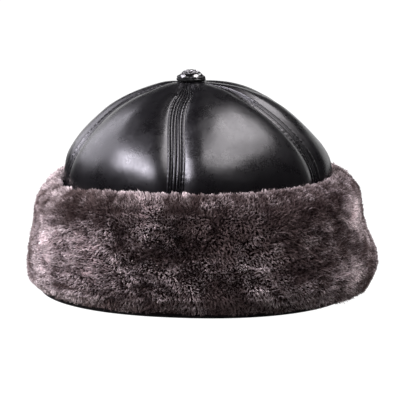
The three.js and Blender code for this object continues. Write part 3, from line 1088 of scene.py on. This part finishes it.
def addHairMesh(name, corners, colour, hairs):
    mesh = bpy.data.meshes.new(name)
    mesh.vertices.add(hairs * blade["corners"])
    mesh.vertices.foreach_set("co", corners.astype(np.float32).ravel())
    number = np.arange(hairs)[:, None]
    loops = number * blade["corners"] + np.array(blade["loops"])[None, :]
    mesh.loops.add(loops.size)
    mesh.loops.foreach_set("vertex_index", loops.astype(np.int32).ravel())
    starts = number * len(blade["loops"]) + np.array(blade["starts"])[None, :]
    mesh.polygons.add(starts.size)
    mesh.polygons.foreach_set("loop_start", starts.astype(np.int32).ravel())
    mesh.materials.append(shearedFur)
    # each hair has a cell of its own in the map
    cells = math.ceil(math.sqrt(hairs))
    cell = np.stack([number % cells, number // cells], axis=2)
    layout = mesh.uv_layers.new(name="OFBake")
    layout.uv.foreach_set("vector", ((cell + np.array(blade["map"])) / cells).astype(np.float32).ravel())
    hair = mesh.attributes.new("hair", "FLOAT_COLOR", "POINT")
    hair.data.foreach_set("color", colour.ravel())
    mesh.update(calc_edges=True)
    mesh.shade_smooth()
    piece = bpy.data.objects.new(name, mesh)
    return placePiece(piece, ["fur_cuff"])


quarters = ["front_right", "back_right", "back_left", "front_left"]
for quarterNumber, quarterName in enumerate(quarters):
    stops = [round(fur["across"] * k / 4) for k in (quarterNumber, quarterNumber + 1)]
    furPiece = makeHairs(f"fur_pile_{quarterName}", *stops)
    print("fur grown:", quarterName, len(furPiece.data.polygons) // 2 * 3, "triangles")


# The button on top: a black casting of scalloped tiers, held inside the crown by a post and a flat head
button = {
    "x": crown["buttonX"],
    "radius": 9.4,
    "flange": 1.8,
    "skirt": 0.7,
    "dome": 8.2,
    "domeRise": 2.2,
    "lobes": 10,
    "lobeIn": 1.9,
    "lobe": (2.2, 2.5, 1.3),
    "steps": 72,
    "post": 2.4,
    "head": 6.5,
    "headDown": 3.6,
    "headThick": 1.2,
    "soft": 0.4,
}
button["under"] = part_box("button_base")[1].z / mm - button["flange"] - button["domeRise"]
# Silver and black enamel on it: heights and distances from the button's seat and middle
rosette = {
    "under": 4.3,
    "plate": 6.4,
    "plateThick": 0.7,
    "cushion": 6.1,
    "cushionRise": 1.0,
    "boss": (2.4, 2.4, 0.8),
    "bossUp": 6.1,
    "overlap": 0.2,
    "plateSteps": 64,
    "cushionSteps": 48,
}
petals = {
    "count": 6,
    "out": 4.4,
    "up": 5.5,
    "long": 1.9,
    "wide": 1.8,
    "wire": 0.42,
    "slope": 0.46,
    "bead": 0.5,
    "drop": 0.5,
    "dropDown": 0.15,
}
leaves = {"count": 5, "first": 0.046, "out": 7.7, "up": 2.7, "size": (1.9, 2.6, 0.7), "slope": 0.95}


def lathe(profile, steps, centre):
    # a closed turned body from a profile that starts and ends on the axis
    profile = np.asarray(profile, float)
    turn = np.arange(steps) / steps * fullTurn
    ring = profile[1:-1]
    points = np.stack(
        [
            np.outer(np.cos(turn), ring[:, 0]),
            np.outer(np.sin(turn), ring[:, 0]),
            np.broadcast_to(ring[:, 1], (steps, len(ring))),
        ],
        axis=-1,
    ).reshape(-1, 3)
    ends = np.array([[0, 0, profile[0, 1]], [0, 0, profile[-1, 1]]])
    wide = len(ring)
    faces = []
    for i in range(steps):
        here, after = i * wide, (i + 1) % steps * wide
        faces += [(here + j, after + j, after + j + 1, here + j + 1) for j in range(wide - 1)]
        faces.append((steps * wide, after, here))
        faces.append((steps * wide + 1, here + wide - 1, after + wide - 1))
    return np.concatenate([points, ends]) + centre, faces


def ball(radii, turnTo, centre, slope=0, steps=16, rings=10):
    # an egg-shaped bead, tipped down outwards, turned about the upright axis and moved to its place
    tilt = np.linspace(-math.pi / 2, math.pi / 2, rings)
    profile = np.stack([np.cos(tilt), np.sin(tilt)], axis=1)
    points, faces = lathe(profile, steps, 0)
    matrix = np.array(Euler((0, slope, turnTo)).to_matrix())
    return (points * radii) @ matrix.T + centre, faces


def loopRing(long, wide, wire, turnTo, slope, centre, steps=28, sides=8):
    # an oval wire ring that lies on the button's slope
    angle = np.arange(steps) / steps * fullTurn
    path = np.stack([long * np.cos(angle), wide * np.sin(angle), 0 * angle], axis=1)
    matrix = np.array(Euler((0, slope, turnTo)).to_matrix())
    points = tubePoints(path, wire, sides, closed=True).reshape(-1, 3) @ matrix.T + centre
    return points, ringFaces(steps, sides)


def joined(parts):
    points, faces, first = [], [], 0
    for partPoints, partFaces in parts:
        points.append(partPoints)
        faces += [tuple(first + v for v in face) for face in partFaces]
        first += len(partPoints)
    return np.concatenate(points), faces


def aroundButton(out, share, up):
    turn = share * fullTurn
    return np.array([button["x"] + out * math.cos(turn), out * math.sin(turn), button["under"] + up])


def domeProfile(out, up, rise, start=0):
    # from a dome's edge, or an angle above it, to just short of its top
    return [(out * math.cos(a), up + rise * math.sin(a)) for a in np.linspace(start, 1.5, 9)]


def makeButtonCast():
    b = button
    soft = b["soft"]
    dome = domeProfile(b["dome"], b["flange"], b["domeRise"], start=0.1)
    profile = [
        (0, -b["headDown"] - b["headThick"]),
        (b["head"] - soft, -b["headDown"] - b["headThick"]),
        (b["head"], -b["headDown"] - b["headThick"] / 2),
        (b["head"] - soft, -b["headDown"]),
        (b["post"], -b["headDown"]),
        (b["post"], 0),
        (b["head"], 0),
        (b["radius"] - soft, -b["skirt"]),
        (b["radius"] + soft, 0),
        (b["radius"] + soft, b["flange"] / 2),
        (b["radius"] - 2 * soft, b["flange"]),
        *dome,
        (0, b["flange"] + b["domeRise"]),
    ]
    body = lathe(profile, b["steps"], aroundButton(0, 0, 0))
    lobes = [
        ball(b["lobe"], share * fullTurn, aroundButton(b["radius"] - b["lobeIn"], share, b["flange"]))
        for share in np.arange(b["lobes"]) / b["lobes"]
    ]
    points, faces = joined([body, *lobes])
    addPiece("button_cast", points, faces, [blackLacquer], ["button_base"], sharp=40)


def makeSilverwork():
    # a round plate, oval loops round beads on it, and leaves that hang over the black tier
    r, p = rosette, petals
    top = r["under"] + r["plateThick"]
    edge = [(0, r["under"]), (r["plate"], r["under"]), (r["plate"], top), (0, top)]
    parts = [lathe(edge, r["plateSteps"], aroundButton(0, 0, 0))]
    for share in (np.arange(p["count"]) + 0.5) / p["count"]:
        at = aroundButton(p["out"], share, p["up"])
        parts.append(loopRing(p["long"], p["wide"], p["wire"], share * fullTurn, p["slope"], at))
        parts.append(ball([p["bead"]] * 3, 0, at + [0, 0, p["bead"] / 2], steps=12, rings=8))
    for share in np.arange(leaves["count"]) / leaves["count"] + leaves["first"]:
        at = aroundButton(leaves["out"], share, leaves["up"])
        parts.append(ball(leaves["size"], share * fullTurn, at, leaves["slope"]))
    points, faces = joined(parts)
    addPiece("rosette_silver", points, faces, [silverPlate], ["button_rosette"], sharp=40)


def makeEnamel():
    # black enamel that swells up inside the loops
    r, p = rosette, petals
    top = r["under"] + r["plateThick"]
    dome = domeProfile(r["cushion"], top, r["cushionRise"])
    profile = [(0, top - r["overlap"]), *dome, (0, top + r["cushionRise"])]
    parts = [lathe(profile, r["cushionSteps"], aroundButton(0, 0, 0))]
    for share in (np.arange(p["count"]) + 0.5) / p["count"]:
        at = aroundButton(p["out"], share, p["up"] - p["dropDown"])
        parts.append(ball((p["long"], p["wide"], p["drop"]), share * fullTurn, at, p["slope"]))
    parts.append(ball(r["boss"], 0, aroundButton(0, 0, r["bossUp"])))
    points, faces = joined(parts)
    addPiece("rosette_enamel", points, faces, [blackLacquer], ["button_rosette"], sharp=40)


makeButtonCast()
makeSilverwork()
makeEnamel()
print("button set")

# The camera stands where the photograph was taken from, and the studio is pale and soft
camera = {
    "azimuth": 7.5,
    "elevation": 8.6,
    "distance": 1.4,
    "target": (0, 0, 0.065),
    "roll": 0.7,
    "lens": 186.9,
    "sensor": 36,
    "rightPixels": 5,
    "upPixels": 11,
    "frame": 400,
}
studio = {
    "floorRadius": 12,
    "wallRadius": 3.7,
    "wallHeight": 1.2,
    "wallHalfAngle": 42,
    "steps": 96,
    "tone": (0.05, 0.05, 0.05),
    "glow": 1.0,
    "wallGlow": 0.85,
    "world": 0.04,
    "worldTone": (0.93, 0.94, 1.0),
}
# The last two only lift the fur's shadows, and aren't mirrored in the leather
softboxes = [
    {"azimuth": -56, "elevation": 42, "wide": 0.90, "high": 0.31, "watts": 21, "tint": (0.92, 0.88, 1.0)},
    {"azimuth": 81, "elevation": 68, "wide": 1.25, "high": 0.66, "watts": 21, "tint": (1.0, 0.955, 1.0)},
    {"azimuth": -118, "elevation": 30, "wide": 0.80, "high": 0.60, "watts": 5, "tint": (0.93, 0.90, 1.0)},
    {"azimuth": -60, "elevation": 14, "wide": 1.20, "high": 0.80, "watts": 27, "tint": (1.0, 0.98, 0.98)},
    {"azimuth": 84, "elevation": 22, "wide": 0.80, "high": 0.70, "watts": 10, "tint": (1.0, 0.98, 0.98)},
]
mirroredSoftboxes = 3
softboxDistance = 1.15


def towards(azimuth, elevation):
    a, e = math.radians(azimuth), math.radians(elevation)
    return Vector((math.sin(a) * math.cos(e), -math.cos(a) * math.cos(e), math.sin(e)))


def makeCamera():
    data = bpy.data.cameras.new("photoCamera")
    data.lens = camera["lens"]
    data.sensor_width = camera["sensor"]
    data.clip_end = 100
    data.shift_x = -camera["rightPixels"] / camera["frame"]
    data.shift_y = -camera["upPixels"] / camera["frame"]
    view = bpy.data.objects.new("photoCamera", data)
    away = towards(camera["azimuth"], camera["elevation"])
    view.location = Vector(camera["target"]) + away * camera["distance"]
    turn = away.to_track_quat("Z", "Y").to_matrix().to_4x4()
    view.rotation_euler = (turn @ Matrix.Rotation(math.radians(camera["roll"]), 4, "Z")).to_euler()
    bpy.context.scene.collection.objects.link(view)
    bpy.context.scene.camera = view


def makeSoftboxes():
    for number, box in enumerate(softboxes):
        data = bpy.data.lights.new("softbox", "AREA")
        data.shape = "RECTANGLE"
        data.size = box["wide"]
        data.size_y = box["high"]
        data.energy = box["watts"]
        data.color = box["tint"]
        lamp = bpy.data.objects.new(data.name, data)
        lamp.visible_glossy = number < mirroredSoftboxes
        away = towards(box["azimuth"], box["elevation"])
        lamp.location = Vector(camera["target"]) + away * softboxDistance
        lamp.rotation_euler = away.to_track_quat("Z", "Y").to_euler()
        bpy.context.scene.collection.objects.link(lamp)


def makePaper():
    # white paper underfoot that the camera sees burnt out, but that throws little light up at the hat
    material, tree, shader = newMaterial("floorPaper", {"Roughness": 0.9, "Specular IOR Level": 0.1})
    shader.inputs["Base Color"].default_value = (*studio["tone"], 1)
    shader.inputs["Emission Color"].default_value = (1, 1, 1, 1)
    seen = addNode(tree, "ShaderNodeLightPath").outputs["Is Camera Ray"]
    tree.links.new(mathNode(tree, "MULTIPLY", seen, studio["glow"]), shader.inputs["Emission Strength"])
    return material


def makeLitPaper():
    # the lit wall behind, which the edges of the hat mirror
    settings = {"Roughness": 0.9, "Emission Color": (1, 1, 1, 1), "Emission Strength": studio["wallGlow"]}
    return newMaterial("wallPaper", settings)[0]


def makeStudio():
    world = bpy.data.worlds.new("paleStudio")
    world.use_nodes = True
    back = world.node_tree.nodes["Background"]
    back.inputs["Color"].default_value = (*studio["worldTone"], 1)
    back.inputs["Strength"].default_value = studio["world"]
    bpy.context.scene.world = world
    steps = studio["steps"]
    turn = np.arange(steps) / steps * fullTurn
    ring = np.stack([np.cos(turn), np.sin(turn), 0 * turn], axis=1) * studio["floorRadius"]
    arc = math.pi / 2 + np.radians(np.linspace(-1, 1, steps) * studio["wallHalfAngle"])
    foot = np.stack([np.cos(arc), np.sin(arc), 0 * arc], axis=1) * studio["wallRadius"]
    wall = np.concatenate([foot, foot + [0, 0, studio["wallHeight"]]])
    panes = [(steps + i, steps + i + 1, 2 * steps + i + 1, 2 * steps + i) for i in range(steps - 1)]
    mesh = bpy.data.meshes.new("paperSweep")
    mesh.from_pydata(np.concatenate([ring, wall]).tolist(), [], [tuple(range(steps)), *panes])
    mesh.materials.append(makePaper())
    mesh.polygons.foreach_set("material_index", [0] + [1] * len(panes))
    mesh.materials.append(makeLitPaper())
    sweep = bpy.data.objects.new("paperSweep", mesh)
    bpy.context.scene.collection.objects.link(sweep)


makeCamera()
makeSoftboxes()
makeStudio()
bpy.context.scene.view_settings.view_transform = "Standard"
print("studio lit")
